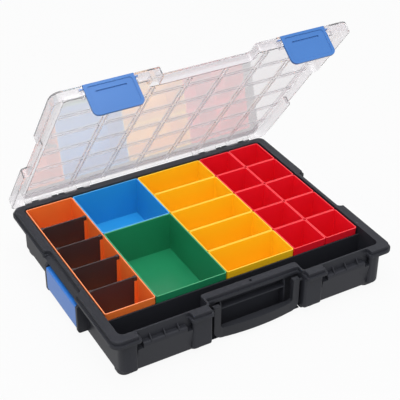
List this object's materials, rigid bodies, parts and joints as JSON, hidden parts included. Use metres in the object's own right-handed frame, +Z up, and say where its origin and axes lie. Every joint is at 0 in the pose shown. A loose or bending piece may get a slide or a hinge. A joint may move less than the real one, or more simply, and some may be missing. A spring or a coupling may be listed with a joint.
{
  "type": "compartment storage box",
  "caption": "Flat carry case with a clear hinged lid, front latches, a folding handle, side connectors, a front trough and coloured lift-out bins.",
  "frame": {"origin": "middle of the footprint, on the surface that the feet stand on", "axes": "+X to the right as seen from the handle, +Y from the handle to the hinges, +Z up; the lid stands open at rest"},
  "size_m": [0.4384, 0.3549, 0.3499],
  "materials": {
    "tray_charcoal": "fine moulded texture, satin charcoal",
    "handle_charcoal": "satin charcoal",
    "lid_clear": "clear polished plastic",
    "latch_blue": "satin blue",
    "connector_blue": "satin blue",
    "bin_orange": "moulded, semi-gloss",
    "bin_blue": "moulded, semi-gloss",
    "bin_green": "moulded, semi-gloss",
    "bin_yellow": "moulded, semi-gloss",
    "bin_red": "moulded, semi-gloss",
    "divider_dark": "moulded, semi-gloss",
    "pin_steel": "drawn wire"
  },
  "bodies": {
    "tray": {"base_tray": "tray_charcoal", "hinge_pin_left": "pin_steel", "hinge_pin_right": "pin_steel", "handle_pin_left": "handle_charcoal", "handle_pin_right": "handle_charcoal", "connector_pin_left": "tray_charcoal", "connector_pin_right": "tray_charcoal"},
    "lid": {"lid_cover": "lid_clear", "latch_pin_left": "latch_blue", "latch_pin_right": "latch_blue"},
    "latch_left": {"latch_left": "latch_blue"},
    "latch_right": {"latch_right": "latch_blue"},
    "handle": {"carry_handle": "handle_charcoal"},
    "connector_left": {"connector_left": "connector_blue"},
    "connector_right": {"connector_right": "connector_blue"},
    "orange_bin": {"orange_bin": "bin_orange"},
    "divider_1": {"divider_1": "divider_dark"},
    "divider_2": {"divider_2": "divider_dark"},
    "divider_3": {"divider_3": "divider_dark"},
    "divider_4": {"divider_4": "divider_dark"},
    "blue_bin": {"blue_bin": "bin_blue"},
    "green_bin": {"green_bin": "bin_green"},
    "yellow_bin_1": {"yellow_bin_1": "bin_yellow"},
    "yellow_bin_2": {"yellow_bin_2": "bin_yellow"},
    "yellow_bin_3": {"yellow_bin_3": "bin_yellow"},
    "yellow_bin_4": {"yellow_bin_4": "bin_yellow"},
    "yellow_bin_5": {"yellow_bin_5": "bin_yellow"},
    "red_bin_1": {"red_bin_1": "bin_red"},
    "red_bin_2": {"red_bin_2": "bin_red"},
    "red_bin_3": {"red_bin_3": "bin_red"},
    "red_bin_4": {"red_bin_4": "bin_red"},
    "red_bin_5": {"red_bin_5": "bin_red"},
    "red_bin_6": {"red_bin_6": "bin_red"},
    "red_bin_7": {"red_bin_7": "bin_red"},
    "red_bin_8": {"red_bin_8": "bin_red"},
    "red_bin_9": {"red_bin_9": "bin_red"},
    "red_bin_10": {"red_bin_10": "bin_red"}
  },
  "joints": [
    {"name": "lid_hinge", "type": "hinge", "parent": "tray", "child": "lid", "pos_m": [0, 0.1721, 0.0655], "axis": [-1, 0, 0], "range_deg": [-53.2, 56]},
    {"name": "latch_left_pivot", "type": "hinge", "parent": "lid", "child": "latch_left", "pos_m": [-0.141, -0.02754, 0.34388], "axis": [-1, 0, 0], "range_deg": [0, 95]},
    {"name": "latch_right_pivot", "type": "hinge", "parent": "lid", "child": "latch_right", "pos_m": [0.141, -0.02754, 0.34388], "axis": [-1, 0, 0], "range_deg": [0, 95]},
    {"name": "handle_swing", "type": "hinge", "parent": "tray", "child": "handle", "pos_m": [0, -0.1599, 0.0541], "axis": [-1, 0, 0], "range_deg": [0, 90]},
    {"name": "connector_left_pivot", "type": "hinge", "parent": "tray", "child": "connector_left", "pos_m": [-0.2152, -0.0139, 0.017], "axis": [0, -1, 0], "range_deg": [0, 80]},
    {"name": "connector_right_pivot", "type": "hinge", "parent": "tray", "child": "connector_right", "pos_m": [0.2152, -0.0139, 0.017], "axis": [0, 1, 0], "range_deg": [0, 80]},
    {"name": "orange_bin_lift", "type": "slide", "parent": "tray", "child": "orange_bin", "axis": [0, 0, 1], "range_m": [0, 0.018]},
    {"name": "blue_bin_lift", "type": "slide", "parent": "tray", "child": "blue_bin", "axis": [0, 0, 1], "range_m": [0, 0.018]},
    {"name": "green_bin_lift", "type": "slide", "parent": "tray", "child": "green_bin", "axis": [0, 0, 1], "range_m": [0, 0.068]},
    {"name": "yellow_bin_1_lift", "type": "slide", "parent": "tray", "child": "yellow_bin_1", "axis": [0, 0, 1], "range_m": [0, 0.068]},
    {"name": "yellow_bin_2_lift", "type": "slide", "parent": "tray", "child": "yellow_bin_2", "axis": [0, 0, 1], "range_m": [0, 0.068]},
    {"name": "yellow_bin_3_lift", "type": "slide", "parent": "tray", "child": "yellow_bin_3", "axis": [0, 0, 1], "range_m": [0, 0.068]},
    {"name": "yellow_bin_4_lift", "type": "slide", "parent": "tray", "child": "yellow_bin_4", "axis": [0, 0, 1], "range_m": [0, 0.068]},
    {"name": "yellow_bin_5_lift", "type": "slide", "parent": "tray", "child": "yellow_bin_5", "axis": [0, 0, 1], "range_m": [0, 0.018]},
    {"name": "red_bin_1_lift", "type": "slide", "parent": "tray", "child": "red_bin_1", "axis": [0, 0, 1], "range_m": [0, 0.068]},
    {"name": "red_bin_2_lift", "type": "slide", "parent": "tray", "child": "red_bin_2", "axis": [0, 0, 1], "range_m": [0, 0.068]},
    {"name": "red_bin_3_lift", "type": "slide", "parent": "tray", "child": "red_bin_3", "axis": [0, 0, 1], "range_m": [0, 0.068]},
    {"name": "red_bin_4_lift", "type": "slide", "parent": "tray", "child": "red_bin_4", "axis": [0, 0, 1], "range_m": [0, 0.068]},
    {"name": "red_bin_5_lift", "type": "slide", "parent": "tray", "child": "red_bin_5", "axis": [0, 0, 1], "range_m": [0, 0.068]},
    {"name": "red_bin_6_lift", "type": "slide", "parent": "tray", "child": "red_bin_6", "axis": [0, 0, 1], "range_m": [0, 0.068]},
    {"name": "red_bin_7_lift", "type": "slide", "parent": "tray", "child": "red_bin_7", "axis": [0, 0, 1], "range_m": [0, 0.068]},
    {"name": "red_bin_8_lift", "type": "slide", "parent": "tray", "child": "red_bin_8", "axis": [0, 0, 1], "range_m": [0, 0.068]},
    {"name": "red_bin_9_lift", "type": "slide", "parent": "tray", "child": "red_bin_9", "axis": [0, 0, 1], "range_m": [0, 0.018]},
    {"name": "red_bin_10_lift", "type": "slide", "parent": "tray", "child": "red_bin_10", "axis": [0, 0, 1], "range_m": [0, 0.018]},
    {"name": "divider_1_lift", "type": "slide", "parent": "orange_bin", "child": "divider_1", "axis": [0, 0, 1], "range_m": [0, 0.062]},
    {"name": "divider_2_lift", "type": "slide", "parent": "orange_bin", "child": "divider_2", "axis": [0, 0, 1], "range_m": [0, 0.062]},
    {"name": "divider_3_lift", "type": "slide", "parent": "orange_bin", "child": "divider_3", "axis": [0, 0, 1], "range_m": [0, 0.062]},
    {"name": "divider_4_lift", "type": "slide", "parent": "orange_bin", "child": "divider_4", "axis": [0, 0, 1], "range_m": [0, 0.062]}
  ]
}
